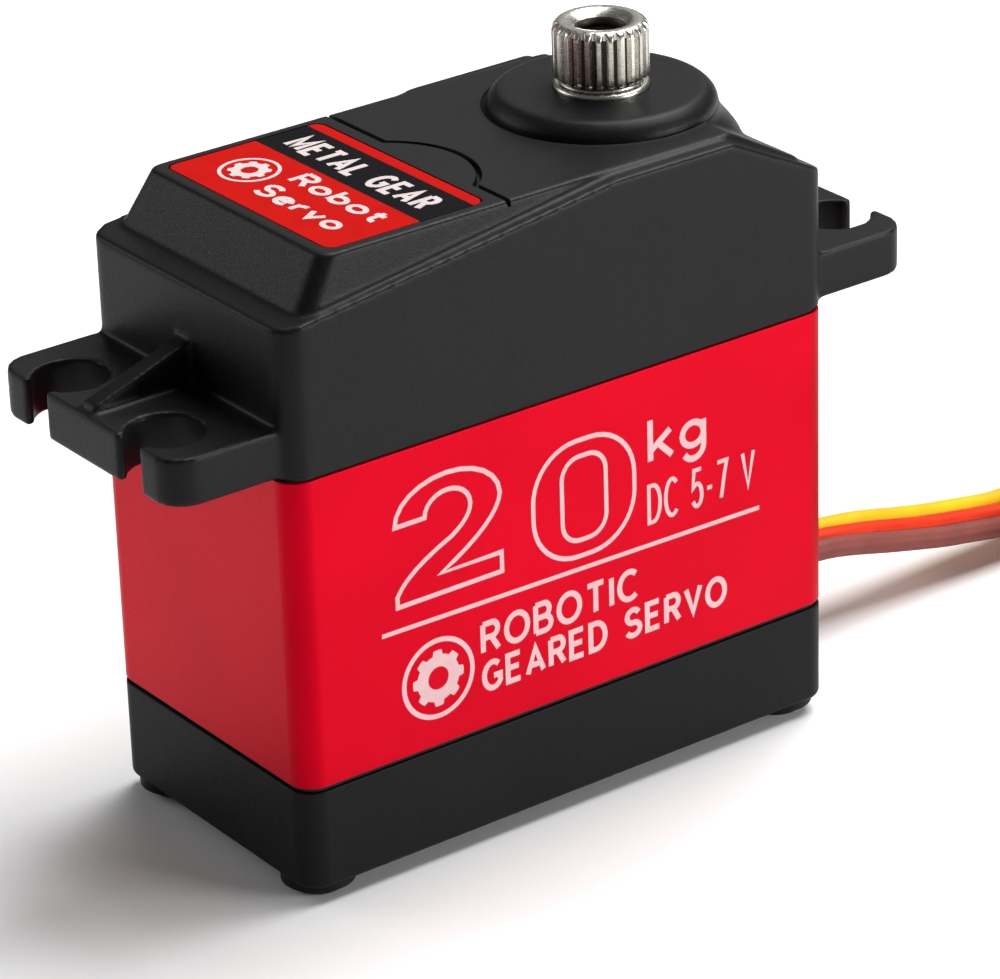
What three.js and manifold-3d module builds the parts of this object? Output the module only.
// Standard-size digital hobby servo: three stacked casings, DC motor, four-stage gear train,
// feedback potentiometer, control board and a three-wire lead with its connector.
// Millimetres, +Z up. The four screw heads under the bottom cover stand on z = 0, the origin is
// midway between the mounting ears, +X is the output shaft's end and -Y the printed long side.

import * as THREE from 'three';
import { mergeVertices } from 'three/addons/utils/BufferGeometryUtils.js';
import Module from 'manifold-3d';

const wasm = await Module();
wasm.setup();

// ---------------------------------------------------------------- driving dimensions
const BODY = { length: 40, width: 20.5, corner: 1.6 };
const FOOT = 0.6;                      // the screw heads stand this far below the cover
const SEAM = 0.3;                      // thickness of each rubber gasket
const LOWER_SEAM = 7.7;                // mid-height of the lower gasket
const UPPER_SEAM = 27.8;               // mid-height of the upper gasket
const TOP = 40.5;                      // flat top of the upper case
const WALL = 1.5;
const INNER = { x: BODY.length / 2 - WALL, y: BODY.width / 2 - 1.55 };

const EAR = { tip: 27.25, half: 9.4, thick: 3, corner: 1.9 };
const EAR_HOLE = { x: 24.75, y: 5, r: 2.3, mouth: 2.2 };
const GUSSET = { thick: 1.4, root: 19, rootTop: 34.05, end: 26.7, tipTop: 31.35 };

const BOSS = { topR: 6.15, topZ: 41.6, waistR: 7, waistZ: 41, footR: 7.9, footZ: 38.2 };
const BLOCK = { low: 36.5, x0: -18.95, x1: 18.6, half: 9.8, corner: 1.1, narrowX: 0.927, narrowY: 0.935 };
const END_SLOPE = { startX: 13.2, endX: 18.1, drop: 2.7 };
const LABEL = { x0: -15.4, x1: -4.2, half: 8.5, corner: 0.8, deep: 0.3, gap: 0.1 };
const GROOVE = { x: -3.2, half: 0.22, deep: 0.45, arcX: -6.8, arcY: -1.4, arcR: 5.8 };

const OUTPUT = { x: 10.7, y: 0 };      // output shaft axis
const IDLER = { x: 1.45, y: 0 };       // idler pin axis
const MOTOR = { x: -7.25, y: 0 };      // motor axis

const DECK = { top: UPPER_SEAM - SEAM / 2, thick: 1.6 };
const DECK_BOTTOM = DECK.top - DECK.thick;
const SCREW = { x: 17.7, y: 7.7, shankR: 0.95, headR: 1.85, headH: 1.5, end: 33.5, columnR: 2 };

// gear train: 28 degree pressure angle, pitch radius = module * teeth / 2
const PRESSURE = THREE.MathUtils.degToRad(28);
const BACKLASH = 0.12;
const FIRST = { module: 0.3, pinion: 12, wheel: 46 };
const LATER = { module: 0.5, pinion: 10, wheel: 27 };
const LAYER = {                        // [bottom, top] of each toothed rim
  motorPinion: [28.1, 29.9],
  wheel1: [28.3, 29.6],
  pinion1: [29.6, 31.9],
  wheel2: [30, 31.5],
  pinion2: [31.5, 33.7],
  wheel3: [31.95, 33.45],
  pinion3: [33.45, 36.2],
  output: [33.95, 36.2],
};

const SPLINE = { teeth: 25, tipR: 2.95, rootR: 2.6, z0: 42.2, z1: 45.8, chamfer: 0.45 };
const UPPER_BEARING = { inR: 3, outR: 5, z0: 37.3, z1: 40.3, balls: 7 };
const LOWER_BEARING = { inR: 1.5, outR: 3, z0: 26.5, z1: 28.1, balls: 5 };

const BOARD = { x0: -17, x1: 16.5, half: 7.9, z0: 3.9, z1: 4.9 };

// three-core flat lead, laid out of the boot, along the ground and into one coil
const LEAD = { width: 4.2, thick: 1.4 };
const COIL = { x: 65.1, y: -13.75, startR: 22.6, endR: 19.4, z0: 0.3, z1: 4.7 };
const COIL_MID = (COIL.z0 + COIL.z1) / 2;
const BOOT = { z: 5.8, tip: 25.2 };
const CLEAR = 0.3;

// ---------------------------------------------------------------- solids
function asSolid(geometry) {
  const bare = geometry.clone();
  bare.deleteAttribute('normal');
  bare.deleteAttribute('uv');
  const merged = mergeVertices(bare, 1e-4);
  const index = merged.index.array;
  const triangles = [];
  for (let i = 0; i < index.length; i += 3) {
    const [a, b, c] = index.slice(i, i + 3);
    if (a !== b && b !== c && c !== a) triangles.push(a, b, c);
  }
  const vertProperties = new Float32Array(merged.attributes.position.array);
  const mesh = new wasm.Mesh({ numProp: 3, vertProperties, triVerts: new Uint32Array(triangles) });
  return new wasm.Manifold(mesh);
}

function asGeometry(manifold) {
  const mesh = manifold.getMesh();
  const geometry = new THREE.BufferGeometry();
  geometry.setAttribute('position', new THREE.BufferAttribute(mesh.vertProperties, 3));
  geometry.setIndex(new THREE.BufferAttribute(mesh.triVerts, 1));
  return geometry;
}

const join = (first, ...rest) => rest.reduce((sum, next) => sum.add(next), first);
const cut = (first, ...rest) => rest.reduce((left, next) => left.subtract(next), first);

function roundedRect(x0, x1, y0, y1, r, shape = new THREE.Shape()) {
  shape.moveTo(x0 + r, y0);
  shape.lineTo(x1 - r, y0);
  shape.absarc(x1 - r, y0 + r, r, -Math.PI / 2, 0);
  shape.lineTo(x1, y1 - r);
  shape.absarc(x1 - r, y1 - r, r, 0, Math.PI / 2);
  shape.lineTo(x0 + r, y1);
  shape.absarc(x0 + r, y1 - r, r, Math.PI / 2, Math.PI);
  shape.lineTo(x0, y0 + r);
  shape.absarc(x0 + r, y0 + r, r, Math.PI, Math.PI * 1.5);
  return shape;
}

// a plan outline raised from z0 to z1
function raise(shape, z0, z1, curveSegments = 4) {
  const geometry = new THREE.ExtrudeGeometry(shape, { depth: z1 - z0, bevelEnabled: false, curveSegments });
  return asSolid(geometry.translate(0, 0, z0));
}

// a side outline, given as [x, z] points, extruded across the width
function profile(points, halfWidth, y = 0) {
  const shape = new THREE.Shape(points.map(([x, z]) => new THREE.Vector2(x, z)));
  const geometry = new THREE.ExtrudeGeometry(shape, { depth: 2 * halfWidth, bevelEnabled: false });
  return asSolid(geometry.rotateX(Math.PI / 2).translate(0, y + halfWidth, 0));
}

function box(x0, x1, y0, y1, z0, z1) {
  const geometry = new THREE.BoxGeometry(x1 - x0, y1 - y0, z1 - z0);
  return asSolid(geometry.translate((x0 + x1) / 2, (y0 + y1) / 2, (z0 + z1) / 2));
}

function cylinder(r, z0, z1, x = 0, y = 0, segments = 24) {
  const geometry = new THREE.CylinderGeometry(r, r, z1 - z0, segments).rotateX(Math.PI / 2);
  return asSolid(geometry.translate(x, y, (z0 + z1) / 2));
}

// a profile of [radius, z] points turned about a vertical axis
function turned(points, segments = 20, x = 0, y = 0) {
  const profilePoints = points.map(([r, z]) => new THREE.Vector2(r, z));
  const geometry = new THREE.LatheGeometry(profilePoints, segments).rotateX(Math.PI / 2);
  return asSolid(geometry.translate(x, y, 0));
}

// a closed ring section, listed anticlockwise with radius across and z up
function ring(inR, outR, z0, z1, segments = 20, x = 0, y = 0) {
  const section = [[inR, z0], [outR, z0], [outR, z1], [inR, z1], [inR, z0]];
  return turned(section, segments, x, y);
}

// narrows a solid's geometry towards z1 by the given x and y scales about (x, y)
function tapered(shape, z0, z1, scaleX, scaleY, x = 0, y = 0) {
  const options = { depth: z1 - z0, bevelEnabled: false, curveSegments: 4 };
  const geometry = new THREE.ExtrudeGeometry(shape, options);
  const position = geometry.attributes.position;
  for (let i = 0; i < position.count; i += 1) {
    if (position.getZ(i) < 1e-6) continue;
    position.setX(i, x + (position.getX(i) - x) * scaleX);
    position.setY(i, y + (position.getY(i) - y) * scaleY);
  }
  return asSolid(geometry.translate(0, 0, z0));
}

// ---------------------------------------------------------------- materials
function finish(hex, roughness, metalness = 0) {
  return () => new THREE.MeshStandardMaterial({ color: hex, roughness, metalness });
}

const blackPlastic = finish(0x232326, 0.62);
const redAnodised = finish(0xd4152c, 0.42, 0.55);
const labelRed = finish(0xe0241b, 0.45);
const rubber = finish(0x18181a, 0.85);
const steel = finish(0xb9b5ac, 0.28, 0.95);
const blackSteel = finish(0x2a2a2c, 0.4, 0.85);
const brass = finish(0xc7a14e, 0.32, 0.9);
const motorSteel = finish(0x9a9ca0, 0.35, 0.9);
const magnet = finish(0x3b3b3f, 0.6, 0.3);
const whitePlastic = finish(0xdedbd0, 0.55);
const boardGreen = finish(0x1d5a35, 0.5);
const chipBlack = finish(0x151517, 0.45);
const leadRed = finish(0xc2452b, 0.6);
const contactGold = finish(0xd9b45a, 0.25, 0.95);

// ---------------------------------------------------------------- scene graph
const servo = new THREE.Group();

function place(parent, name, solidShape, material, spin = 0) {
  const mesh = new THREE.Mesh(asGeometry(solidShape), material());
  mesh.name = name;
  mesh.rotation.z = spin;
  parent.add(mesh);
}

function station({ x, y }) {
  const group = new THREE.Group();
  group.position.set(x, y, 0);
  servo.add(group);
  return group;
}

const fourCorners = [[1, 1], [1, -1], [-1, 1], [-1, -1]];

const bodyOutline = (inset = 0) => {
  const x = BODY.length / 2 - inset;
  const y = BODY.width / 2 - inset;
  return roundedRect(-x, x, -y, y, BODY.corner - inset);
};

const cornerColumns = (r, z0, z1, segments = 12) => join(
  ...fourCorners.map(([sx, sy]) => cylinder(r, z0, z1, sx * SCREW.x, sy * SCREW.y, segments)),
);

// ---------------------------------------------------------------- upper case
// height of the outer wall's top edge along the body, as [x, z]
const WALL_TOP = [
  [-20.5, 37.05], [-16.7, 37.5], [4, 40.2], [12.6, 40.25], [18.8, 37.2], [20.5, 36.35],
];

function upperWalls() {
  const blank = raise(bodyOutline(), UPPER_SEAM + SEAM / 2, TOP + 1);
  const under = profile([[-20.5, 27], [20.5, 27], ...[...WALL_TOP].reverse()], BODY.width);
  return blank.intersect(under);
}

// the raised block inside the walls' top edge, with sloping sides and a sloping output end
function raisedBlock() {
  const { low, x0, x1, half, corner, narrowX, narrowY } = BLOCK;
  const outline = roundedRect(x0, x1, -half, half, corner);
  const blank = tapered(outline, low, TOP, narrowX, narrowY, x1);
  const { startX, endX, drop } = END_SLOPE;
  const slopeAt = (x) => TOP - (drop * (x - startX)) / (endX - startX);
  const under = [[-20, 30], [20.5, 30], [20.5, slopeAt(20.5)], [startX, TOP], [-20, TOP]];
  return blank.intersect(profile(under, BODY.width));
}

function outputBoss() {
  const section = [
    [0, 36.5], [BOSS.footR, 36.5], [BOSS.footR, BOSS.footZ], [7.45, 39.1], [BOSS.waistR, BOSS.waistZ],
    [BOSS.topR + 0.12, BOSS.topZ - 0.06], [BOSS.topR - 0.1, BOSS.topZ], [0, BOSS.topZ],
  ];
  const cone = turned(section, 40, OUTPUT.x, OUTPUT.y);
  return cone.intersect(raise(bodyOutline(1.3), 30, TOP + 3));
}

function earSlot(side, y) {
  const round = cylinder(EAR_HOLE.r, 26, 33, side * EAR_HOLE.x, y, 22);
  const [near, far] = [EAR_HOLE.x, EAR.tip + 1].map((x) => side * x).sort((a, b) => a - b);
  const mouth = box(near, far, y - EAR_HOLE.mouth / 2, y + EAR_HOLE.mouth / 2, 26, 33);
  return join(round, mouth);
}

function ears() {
  const z0 = UPPER_SEAM + SEAM / 2;
  const slab = raise(roundedRect(-EAR.tip, EAR.tip, -EAR.half, EAR.half, EAR.corner), z0, z0 + EAR.thick);
  const gusset = (side) => {
    const { root, end, tipTop, rootTop, thick } = GUSSET;
    const points = [[root, z0 + 1], [end, z0 + 1], [end, tipTop], [root, rootTop]];
    const facing = side > 0 ? points : points.map(([x, z]) => [-x, z]).reverse();
    return profile(facing, thick / 2);
  };
  return join(slab, gusset(1), gusset(-1));
}

function gearChamber() {
  const roof = 39.1;
  const section = [
    [-INNER.x, 27], [INNER.x, 27], [INNER.x, 36.25], [13.2, roof], [-14.8, roof], [-15.5, 36.6],
    [-INNER.x, 35.9],
  ];
  const space = profile(section, INNER.y);
  const pinBoss = cylinder(2, 36.6, TOP, IDLER.x, IDLER.y, 12);
  const bearingHousing = cylinder(UPPER_BEARING.outR + 1.15, 37, TOP, OUTPUT.x, OUTPUT.y, 28);
  return cut(space, cornerColumns(SCREW.columnR, 26, TOP), pinBoss, bearingHousing);
}

function topGroove() {
  const { x, half, arcX, arcY, arcR } = GROOVE;
  const end = 12;
  const sweep = (r, offset) => Math.acos((x + offset - arcX) / r);
  const outer = sweep(arcR + half, half);
  const inner = sweep(arcR - half, -half);
  const path = new THREE.Shape();
  path.moveTo(x + half, end);
  path.absarc(arcX, arcY, arcR + half, outer, -outer, true);
  path.lineTo(x + half, -end);
  path.lineTo(x - half, -end);
  path.absarc(arcX, arcY, arcR - half, -inner, inner, false);
  path.lineTo(x - half, end);
  return raise(path, TOP - GROOVE.deep, TOP + 1, 12);
}

function labelOutline(shrink) {
  const { x0, x1, half, corner } = LABEL;
  return roundedRect(x0 + shrink, x1 - shrink, -half + shrink, half - shrink, corner - shrink);
}

function upperCase() {
  const outside = join(upperWalls(), raisedBlock(), outputBoss(), ears());
  const slots = [1, -1].flatMap((side) => [1, -1].map((sy) => earSlot(side, sy * EAR_HOLE.y)));
  return cut(
    outside,
    gearChamber(),
    cylinder(UPPER_BEARING.outR + 0.05, 36.8, UPPER_BEARING.z1 + 0.05, OUTPUT.x, OUTPUT.y, 28),
    cylinder(3.3, 40, 43, OUTPUT.x, OUTPUT.y, 28),
    cylinder(1.05, 36, 38.5, IDLER.x, IDLER.y, 12),
    cornerColumns(SCREW.shankR + 0.1, 26, 34.2, 10),
    raise(labelOutline(0), TOP - LABEL.deep, TOP + 1),
    topGroove(),
    ...slots,
  );
}

// ---------------------------------------------------------------- middle case, cover, gaskets
function middleCase() {
  const z0 = LOWER_SEAM + SEAM / 2;
  const blank = raise(bodyOutline(), z0, DECK.top);
  const inside = raise(roundedRect(-INNER.x, INNER.x, -INNER.y, INNER.y, 1), z0 - 1, DECK_BOTTOM);
  const hollow = cut(inside, cornerColumns(SCREW.columnR, z0 - 2, DECK.top));
  const bearingSeat = cylinder(LOWER_BEARING.outR + 0.05, LOWER_BEARING.z0 - 0.05, 30, OUTPUT.x, OUTPUT.y);
  return cut(
    blank,
    hollow,
    bearingSeat,
    cylinder(2.5, 25, 30, OUTPUT.x, OUTPUT.y, 24),
    cylinder(3.2, 25, 30, MOTOR.x, MOTOR.y, 20),
    cylinder(1.05, DECK_BOTTOM + 0.4, 30, IDLER.x, IDLER.y, 12),
    cornerColumns(SCREW.shankR + 0.15, 6, 30, 10),
    ...[1, -1].map((side) => motorScrewHole(side)),
  );
}

const MOTOR_SCREW = { offset: 5, shankR: 0.8, headR: 1.5 };

function motorScrewHole(side) {
  const y = side * MOTOR_SCREW.offset;
  const shank = cylinder(MOTOR_SCREW.shankR + 0.1, 25, 30, MOTOR.x, y, 12);
  return join(shank, cylinder(MOTOR_SCREW.headR + 0.1, DECK.top - 0.75, 30, MOTOR.x, y, 14));
}

function motorScrew(side) {
  const { offset, shankR, headR } = MOTOR_SCREW;
  const top = DECK.top - 0.05;
  const under = top - 0.6;
  const section = [[0, 24.2], [shankR, 24.2], [shankR, under], [headR, under], [headR, top], [0, top]];
  const body = turned(section, 12, MOTOR.x, side * offset);
  return cut(body, hexSocket(0.65, top - 0.4, top + 1, MOTOR.x, side * offset));
}

const hexSocket = (r, z0, z1, x, y) => cylinder(r, z0, z1, x, y, 6);

// the cover's outer shell has a small chamfer round its lower edge
function bottomCover() {
  const [z0, z1, floor] = [FOOT, LOWER_SEAM - SEAM / 2, FOOT + 1.3];
  const chamfer = 0.4;
  const grow = (half) => half / (half - chamfer);
  const foot = tapered(
    bodyOutline(chamfer), z0, z0 + chamfer, grow(BODY.length / 2), grow(BODY.width / 2),
  );
  const shell = join(foot, raise(bodyOutline(), z0 + chamfer, z1));
  const inside = raise(roundedRect(-INNER.x, INNER.x, -INNER.y, INNER.y, 1), floor, z1 + 1);
  const rib = { half: 0.8, y: 8.1, x: 12, top: BOARD.z0 - 0.05 };
  const ribs = [rib.y, -rib.y].map((y) => box(-rib.x, rib.x, y - rib.half, y + rib.half, z0, rib.top));
  const hollow = cut(inside, cornerColumns(SCREW.columnR, z0, z1 + 1), ...ribs);
  return cut(
    shell,
    hollow,
    cornerColumns(SCREW.shankR + 0.15, -1, 9, 10),
    cornerColumns(SCREW.headR + 0.2, -1, SCREW.headH + 0.1, 18),
    box(17, 21, -3.3, 3.3, BOOT.z - 1.9, 9),
  );
}

function gasket(z) {
  const outline = bodyOutline(0.25);
  const [x, y] = [INNER.x - 0.1, INNER.y - 0.1];
  const blank = raise(outline, z - SEAM / 2 + 0.02, z + SEAM / 2 - 0.02);
  const inside = raise(roundedRect(-x, x, -y, y, 1), z - 1, z + 1);
  const open = cut(inside, cornerColumns(SCREW.columnR, z - 2, z + 2));
  return cut(blank, open, cornerColumns(SCREW.shankR + 0.15, z - 2, z + 2, 8));
}

function caseScrew([sx, sy]) {
  const { headR, headH, shankR, end } = SCREW;
  const [x, y] = [sx * SCREW.x, sy * SCREW.y];
  const section = [
    [0, 0], [headR - 0.45, 0], [headR - 0.12, 0.16], [headR, 0.5], [headR, headH], [shankR, headH],
    [shankR, end - 0.6], [0.3, end], [0, end],
  ];
  return cut(turned(section, 16, x, y), hexSocket(0.85, -1, 0.9, x, y));
}

// ---------------------------------------------------------------- gears
const involute = (angle) => Math.tan(angle) - angle;

const polar = (r, angle) => new THREE.Vector2(r * Math.cos(angle), r * Math.sin(angle));

// outline of a spur gear with a tooth centred on the +X axis; small gears get a mid-flank point
function gearOutline(teeth, module, boreR) {
  const pitchR = (module * teeth) / 2;
  const baseR = pitchR * Math.cos(PRESSURE);
  const tipR = pitchR + 0.88 * module;
  const rootR = pitchR - 1.15 * module;
  const startR = Math.max(baseR, rootR);
  const half = (r) => {
    const at = involute(PRESSURE) - involute(Math.acos(Math.min(1, baseR / r)));
    return Math.PI / (2 * teeth) - BACKLASH / (4 * pitchR) + at;
  };
  const radii = teeth < 20 ? [startR, (startR + tipR) / 2, tipR] : [startR, tipR];
  const flank = radii.map((r) => [r, half(r)]);
  if (rootR < baseR) flank.unshift([rootR, half(startR)]);
  const outline = [];
  for (let k = 0; k < teeth; k += 1) {
    const centre = (2 * Math.PI * k) / teeth;
    const rising = flank.map(([r, a]) => polar(r, centre - a));
    const falling = flank.map(([r, a]) => polar(r, centre + a)).reverse();
    outline.push(...rising, ...falling);
  }
  const shape = new THREE.Shape(outline);
  if (boreR > 0) shape.holes.push(new THREE.Path().absarc(0, 0, boreR, 0, 2 * Math.PI));
  return shape;
}

function toothedRim({ teeth, module, layer, boreR, turn = 0 }) {
  return raise(gearOutline(teeth, module, boreR), layer[0], layer[1], 7).rotate([0, 0, turn]);
}

// half a tooth beyond 180 degrees puts a gap where the mating gear's tooth points
const gapAtBack = (teeth) => 180 + 180 / teeth;
const gapAtFront = (teeth) => 180 / teeth;

function wheelOf(layer, boreR, turn) {
  return toothedRim({ teeth: LATER.wheel, module: LATER.module, layer, boreR, turn });
}

function pinionOf(layer, boreR, turn) {
  return toothedRim({ teeth: LATER.pinion, module: LATER.module, layer, boreR, turn });
}

const PIN_BORE = 1.05;
const STEM = { r: 1.4, bore: 1.45 };

function idlerGear1() {
  const { wheel: teeth, module } = FIRST;
  const wheel = toothedRim({ teeth, module, layer: LAYER.wheel1, boreR: PIN_BORE, turn: gapAtBack(teeth) });
  const hub = ring(PIN_BORE, 1.9, DECK.top + 0.1, LAYER.wheel1[0], 14);
  return join(wheel, hub, pinionOf(LAYER.pinion1, PIN_BORE, 0));
}

const idlerGear2 = () => join(
  wheelOf(LAYER.wheel2, STEM.bore, gapAtBack(LATER.wheel)),
  pinionOf(LAYER.pinion2, STEM.bore, 180),
);

const idlerGear3 = () => join(
  wheelOf(LAYER.wheel3, PIN_BORE, gapAtFront(LATER.wheel)),
  pinionOf(LAYER.pinion3, PIN_BORE, 0),
);

function splineBlank() {
  const { teeth, tipR, rootR, z0, z1, chamfer } = SPLINE;
  const pitch = (2 * Math.PI) / teeth;
  const tooth = [[rootR, -0.36], [tipR, -0.13], [tipR, 0.13], [rootR, 0.36]];
  const outline = [];
  for (let k = 0; k < teeth; k += 1) {
    outline.push(...tooth.map(([r, at]) => polar(r, (k + at) * pitch)));
  }
  const envelope = turned([
    [0, z0 - 1], [rootR - 0.05, z0 - 1], [rootR - 0.05, z0], [tipR + 0.1, z0 + 0.35],
    [tipR + 0.1, z1 - chamfer], [rootR - 0.1, z1], [0, z1],
  ], 25);
  return raise(new THREE.Shape(outline), z0, z1).intersect(envelope);
}

function outputShaft() {
  const [gearLow, gearHigh] = LAYER.output;
  const collarTop = SPLINE.z0 + 0.2;
  const shoulder = UPPER_BEARING.z0 - 0.05;
  const journalR = UPPER_BEARING.inR - 0.04;
  const collarR = SPLINE.rootR - 0.05;
  const shaft = turned([
    [0, 26.6], [STEM.r, 26.6], [STEM.r, gearLow - 0.15], [2.2, gearLow - 0.15], [2.2, gearHigh],
    [3.6, gearHigh], [3.6, shoulder], [journalR, shoulder], [journalR, SPLINE.z0 - 0.4],
    [collarR, SPLINE.z0 - 0.25], [collarR, collarTop], [0, collarTop],
  ], 24);
  const gear = wheelOf(LAYER.output, 0, gapAtBack(LATER.wheel));
  const [holeR, holeEnd] = [1.25, 38.5];
  const threaded = cylinder(holeR, holeEnd, 50, 0, 0, 16);
  const sink = turned([[0, 45.3], [holeR, 45.3], [holeR + 0.3, 46], [0, 46]], 16);
  return cut(join(shaft, gear, splineBlank()), threaded, sink, cylinder(0.95, 26, 28.2, 0, 0, 12));
}

// ---------------------------------------------------------------- bearings
function race(inR, outR, { z0, z1 }) {
  return ring(inR, outR, z0, z1, 24);
}

const outerRace = (bearing) => race(bearing.outR - 0.4, bearing.outR, bearing);
const innerRace = (bearing) => race(bearing.inR, bearing.inR + 0.4, bearing);

// balls held in one thin ring between the races
function ballCage({ inR, outR, z0, z1, balls }) {
  const mid = (inR + outR) / 2;
  const ballR = (outR - inR) / 2 - 0.45;
  const height = (z0 + z1) / 2;
  const solids = Array.from({ length: balls }, (_, k) => {
    const angle = (2 * Math.PI * k) / balls;
    const ball = new THREE.SphereGeometry(ballR, 6, 4);
    return asSolid(ball.translate(mid * Math.cos(angle), mid * Math.sin(angle), height));
  });
  return join(ring(mid - 0.12, mid + 0.12, height - 0.3, height + 0.3, 14), ...solids);
}

// ---------------------------------------------------------------- motor
const CAN = { r: 8.2, wall: 0.6, z0: 10.3, z1: DECK_BOTTOM - 0.05 };

function motorCan() {
  const { r, wall, z0, z1 } = CAN;
  return turned([
    [r - wall, z0], [r, z0], [r, z1 - 0.4], [r - 0.4, z1], [3.05, z1], [3.05, z1 + 1.2],
    [1.2, z1 + 1.2], [1.2, z1 - wall], [r - wall, z1 - wall], [r - wall, z0],
  ], 22);
}

function drilledCan() {
  const { offset, shankR } = MOTOR_SCREW;
  return cut(motorCan(), ...[1, -1].map((side) => cylinder(shankR + 0.1, 24, 27, 0, side * offset, 10)));
}

function motorMagnet(side) {
  const [inR, outR, spread] = [5.7, 7.45, 1.15];
  const middle = side > 0 ? 0 : Math.PI;
  const arc = new THREE.Shape();
  arc.absarc(0, 0, outR, middle - spread, middle + spread, false);
  arc.absarc(0, 0, inR, middle + spread, middle - spread, true);
  return raise(arc, 12.6, 23.6, 8);
}

function motorEndBell() {
  const { r, z0 } = CAN;
  return turned([
    [0.85, z0 - 1.5], [r - 1.2, z0 - 1.5], [r, z0 - 0.6], [r, z0 - 0.05], [r - 0.8, z0 - 0.05],
    [r - 0.8, z0 + 0.8], [r - 1.6, z0 + 0.8], [r - 1.6, z0 - 0.3], [2.2, z0 - 0.3], [2.2, z0 + 0.4],
    [0.85, z0 + 0.4], [0.85, z0 - 1.5],
  ], 20);
}

function motorRotor() {
  const shaftR = 0.75;
  const core = turned([
    [0, 8.9], [shaftR, 8.9], [shaftR, 10.9], [1.9, 10.9], [1.9, 12.6], [shaftR, 12.6], [shaftR, 13.2],
    [5.2, 13.2], [5.2, 23.2], [shaftR, 23.2], [shaftR, 29.8], [0, 29.8],
  ], 18);
  const slots = [0, 1, 2].map((k) => {
    const slot = box(2.4, 6, -0.5, 0.5, 13, 23.4);
    return slot.rotate([0, 0, 60 + 120 * k]);
  });
  return cut(core, ...slots);
}

const motorPinion = () => toothedRim({
  teeth: FIRST.pinion, module: FIRST.module, layer: LAYER.motorPinion, boreR: 0.79,
});

// ---------------------------------------------------------------- electronics
function controlBoard() {
  const { x0, x1, half, z0, z1 } = BOARD;
  const blank = raise(roundedRect(x0, x1, -half, half, 0.6), z0, z1);
  return cut(blank, cornerColumns(SCREW.columnR + 0.25, z0 - 1, z1 + 1, 10));
}

const onBoard = (x, y, sizeX, sizeY, height) => box(
  x - sizeX / 2, x + sizeX / 2, y - sizeY / 2, y + sizeY / 2, BOARD.z1 + 0.05, BOARD.z1 + 0.05 + height,
);

const capacitor = () => turned([
  [0, 4.95], [2, 4.95], [2, 5.6], [1.85, 5.8], [2, 6], [2, 9.8], [1.7, 10.1], [0, 10.1],
], 14, 3.6, 5.2);

const POT = { r: 4.6, z0: 19.4, z1: DECK_BOTTOM - 0.1, shaftR: 0.85 };

const potBody = () => turned([
  [0, POT.z0], [POT.r, POT.z0], [POT.r, POT.z1 - 1], [POT.r - 0.5, POT.z1], [1.1, POT.z1],
  [1.1, POT.z0 + 1], [0, POT.z0 + 1],
], 20);

const potShaft = () => turned([
  [0, POT.z0 + 1.2], [0.7, POT.z0 + 1.2], [POT.shaftR, POT.z0 + 1.5], [POT.shaftR, 27.6], [0.6, 27.9],
  [0, 27.9],
], 12);

// ---------------------------------------------------------------- lead
const RESTING_Z = LEAD.thick / 2 + 0.05;

// the run's own solid ends here, where its flank would meet the coil's outer turn
const RUN_END = 43.9;

// points chosen by hand from the boot, down to the ground and on to the coil
const RUN = [
  [25.5, 0, 5.85], [27.5, 0, 5.68], [29.5, 0, 5.38], [31.5, 0, 5], [33.5, 0, 4.55], [35.5, 0, 4.08],
  [37.5, 0, 3.64], [39.5, 0, 3.3], [41.5, 0, 2.95], [43.9, 0.05, 2.6], [44.8, 0.18, 2.54], [45.6, 0.4, 2.5],
  [46.9, 0.93, 2.48], [48.7, 2.08, 2.49],
];

// half circle from the inner turn back to the coil's centre, settling flat on the ground
function tailPoint(t) {
  const r = COIL.endR / 2;
  const angle = Math.PI * (1 - t);
  const settle = THREE.MathUtils.smoothstep(t, 0.2, 0.95);
  const z = THREE.MathUtils.lerp(COIL_MID, RESTING_Z, settle) + 0.35 * Math.sin(Math.PI * settle);
  return [COIL.x - r + r * Math.cos(angle), COIL.y + r * Math.sin(angle), z];
}

// a curve that carries its own section frames, rolled about the tangent by rollAt(u)
class RibbonCurve extends THREE.CatmullRomCurve3 {
  constructor(points, rollAt) {
    super(points, false, 'centripetal');
    this.rollAt = rollAt;
  }

  computeFrenetFrames(segments) {
    const frames = { tangents: [], normals: [], binormals: [] };
    for (let i = 0; i <= segments; i += 1) {
      const tangent = this.getTangentAt(i / segments);
      const side = new THREE.Vector3(0, 0, 1).cross(tangent).normalize();
      const up = tangent.clone().cross(side);
      const roll = this.rollAt(i / segments);
      frames.tangents.push(tangent);
      frames.normals.push(side.clone().applyAxisAngle(tangent, roll));
      frames.binormals.push(up.clone().applyAxisAngle(tangent, roll));
    }
    return frames;
  }
}

function ribbon(points, rollAt, steps) {
  const [w, h, c] = [LEAD.width / 2, LEAD.thick / 2, 0.45];
  const flat = [[w, -h + c], [w, h - c], [w - c, h], [-w + c, h]];
  const corners = [...flat, ...flat.map(([x, y]) => [-x, -y])];
  const section = new THREE.Shape(corners.map(([x, y]) => new THREE.Vector2(x, y)));
  const curve = new RibbonCurve(points.map((p) => new THREE.Vector3(...p)), rollAt);
  return asSolid(new THREE.ExtrudeGeometry(section, { steps, bevelEnabled: false, extrudePath: curve }));
}

const leadRun = () => ribbon(RUN.filter(([x]) => x <= RUN_END), () => 0, 10);

function leadTail() {
  const points = [];
  for (let t = 0.3; t <= 1.0001; t += 0.1) points.push(tailPoint(t));
  const last = points[points.length - 1];
  points[points.length - 1] = [last[0], last[1] + CLEAR, last[2]];
  const unroll = (u) => (Math.PI / 2) * (1 - THREE.MathUtils.smoothstep(u, 0.1, 0.85));
  return ribbon(points, unroll, 12);
}

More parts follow.
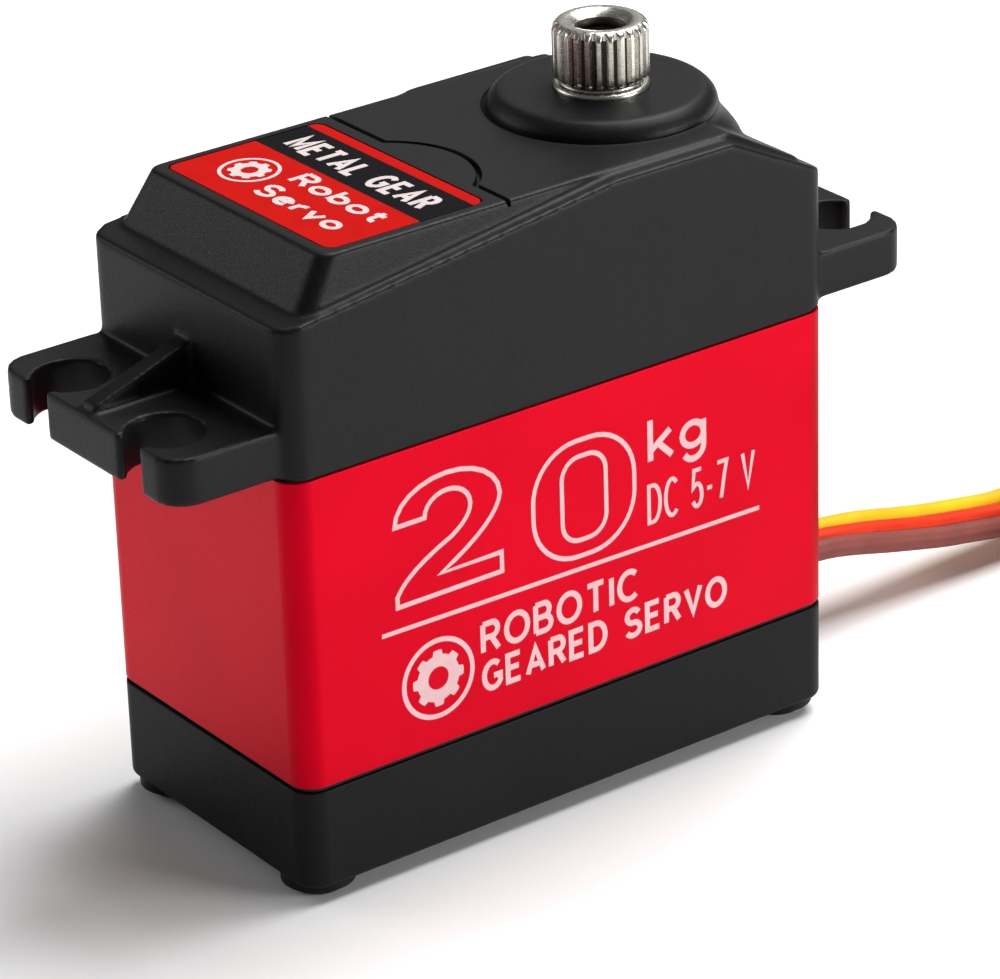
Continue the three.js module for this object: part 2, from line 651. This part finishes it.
const coilOuterR = COIL.startR + LEAD.thick / 2 + 0.3;
const coilInnerR = COIL.endR - LEAD.thick / 2 - 0.3;

const leadCoil = () => ring(coilInnerR, coilOuterR, COIL.z0, COIL.z1, 36, COIL.x, COIL.y);

// a soft tie round the coil's section, as a flat loop with its lower strand on the ground
function coilTie() {
  const [half, thick, gap] = [1.6, 0.5, 0.15];
  const [near, far] = [coilInnerR - 0.3, coilOuterR + 0.3];
  const top = COIL.z1 + gap;
  const outside = box(near - thick, far + thick, -half, half, 0, top + thick);
  const loop = cut(outside, box(near, far, -2 * half, 2 * half, COIL.z0 - 0.1, top));
  return loop.rotate([0, 0, -35]).translate([COIL.x, COIL.y, 0]);
}

const PLUG = { length: 14, width: 7.7, height: 2.6, z0: 0.02, pitch: 2.54 };

function plugHousing() {
  const { length, width, height, z0 } = PLUG;
  const y1 = COIL.y - CLEAR;
  const y0 = y1 - length;
  const edge = COIL.x + width / 2;
  const block = box(edge - width, edge, y0, y1, z0, z0 + height);
  const key = box(edge - 0.1, edge + 0.6, y0, y0 + 5, z0 + 0.8, z0 + height - 0.8);
  const sockets = [-1, 0, 1].map((k) => {
    const x = COIL.x + k * PLUG.pitch;
    return box(x - 0.75, x + 0.75, y0 - 1, y1 - 1.5, z0 + 0.6, z0 + 2.1);
  });
  return cut(join(block, key), ...sockets);
}

function plugContact(k) {
  const x = COIL.x + PLUG.pitch * (k - 1);
  const y1 = COIL.y - CLEAR;
  const y0 = y1 - PLUG.length + 0.8;
  const sleeve = box(x - 0.5, x + 0.5, y0, y1 - 2, PLUG.z0 + 0.8, PLUG.z0 + 1.9);
  return cut(sleeve, box(x - 0.32, x + 0.32, y0 - 1, y1 - 6, PLUG.z0 + 1, PLUG.z0 + 1.7));
}

// rubber boot: flange inside the cover, neck in its wall slot and a ribbed taper outside
function strainRelief() {
  const section = (halfY, halfZ) => roundedRect(-halfY, halfY, -halfZ, halfZ, 0.7);
  const parts = [
    tapered(section(3.9, 1.7), 0, 1.2, 1, 1),
    tapered(section(3, 1.6), 1.2, 3.8, 1, 1),
    tapered(section(3.6, 1.75), 3.4, 5, 1, 0.98),
    tapered(section(3.4, 1.55), 5, 8.1, 0.94, 0.86),
  ];
  const grooves = [5.7, 6.9].map((at) => {
    const around = raise(roundedRect(-6, 6, -6, 6, 0.5), at, at + 0.4);
    return cut(around, raise(section(2.75, 1.05), at - 1, at + 1));
  });
  const upright = cut(join(...parts), ...grooves);
  return upright.rotate([90, 0, 90]).translate([BOOT.tip - 8.1, 0, BOOT.z]);
}

// ---------------------------------------------------------------- assembly
place(servo, 'upper_case', upperCase(), blackPlastic);
place(servo, 'middle_case', middleCase(), redAnodised);
place(servo, 'bottom_cover', bottomCover(), blackPlastic);
place(servo, 'upper_gasket', gasket(UPPER_SEAM), rubber);
place(servo, 'lower_gasket', gasket(LOWER_SEAM), rubber);
place(servo, 'label_plate', raise(labelOutline(LABEL.gap), TOP - LABEL.deep + 0.05, TOP), labelRed);
fourCorners.forEach((corner, k) => place(servo, `case_screw_${k + 1}`, caseScrew(corner), blackSteel));

const motorStation = station(MOTOR);
place(motorStation, 'motor_can', drilledCan(), motorSteel);
place(motorStation, 'motor_magnet_1', motorMagnet(1), magnet);
place(motorStation, 'motor_magnet_2', motorMagnet(-1), magnet);
place(motorStation, 'motor_end_bell', motorEndBell(), whitePlastic);
place(motorStation, 'motor_rotor', motorRotor(), steel);
place(motorStation, 'motor_pinion', motorPinion(), brass);
[1, -1].forEach((side, k) => {
  place(servo, `motor_screw_${k + 1}`, motorScrew(side), blackSteel);
  const terminal = box(-0.8, 0.8, side * 5 - 0.2, side * 5 + 0.2, BOARD.z1 + 0.05, CAN.z0 - 1.55);
  place(motorStation, `motor_terminal_${k + 1}`, terminal, brass);
});

const idlerStation = station(IDLER);
place(idlerStation, 'idler_pin', cylinder(1, DECK_BOTTOM + 0.5, 38.4, 0, 0, 16), steel);
place(idlerStation, 'idler_gear_1', idlerGear1(), brass);
place(idlerStation, 'idler_gear_3', idlerGear3(), steel);

const outputStation = station(OUTPUT);
place(outputStation, 'idler_gear_2', idlerGear2(), steel);
const spacerBush = ring(STEM.bore, 1.8, LOWER_BEARING.z1 + 0.05, LAYER.wheel2[0] - 0.05, 20);
place(outputStation, 'spacer_bush', spacerBush, brass);
place(outputStation, 'output_shaft', outputShaft(), steel);
for (const [name, bearing] of [['upper', UPPER_BEARING], ['lower', LOWER_BEARING]]) {
  place(outputStation, `${name}_bearing_outer_race`, outerRace(bearing), steel);
  place(outputStation, `${name}_bearing_inner_race`, innerRace(bearing), steel);
  place(outputStation, `${name}_bearing_balls`, ballCage(bearing), steel);
}
place(outputStation, 'pot_body', potBody(), chipBlack);
place(outputStation, 'pot_shaft', potShaft(), whitePlastic);
const potLeads = box(-1.8, 1.8, -3.3, -2.7, BOARD.z1 + 0.05, POT.z0 - 0.05);
place(outputStation, 'pot_leads', potLeads, whitePlastic);

place(servo, 'control_board', controlBoard(), boardGreen);
place(servo, 'microcontroller', onBoard(-1.5, 0, 5, 5, 0.9), chipBlack);
[[-13, 4], [-13, -4], [-9.6, 4], [-9.6, -4]].forEach(([x, y], k) => {
  place(servo, `bridge_transistor_${k + 1}`, onBoard(x, y, 2.6, 3, 0.9), chipBlack);
});
place(servo, 'capacitor', capacitor(), motorSteel);

place(servo, 'strain_relief', strainRelief(), rubber);
const innerEnd = box(11.6, 16.8, -LEAD.width / 2, LEAD.width / 2, BOARD.z1 + 0.05, BOARD.z1 + 1.45);
place(servo, 'lead_inner_end', innerEnd, leadRed);
place(servo, 'lead_run', leadRun(), leadRed);
place(servo, 'lead_coil', leadCoil(), leadRed);
place(servo, 'lead_tail', leadTail(), leadRed);
place(servo, 'coil_tie', coilTie(), rubber);
place(servo, 'plug_housing', plugHousing(), chipBlack);
[0, 1, 2].forEach((k) => place(servo, `plug_contact_${k + 1}`, plugContact(k), contactGold));

export default servo;
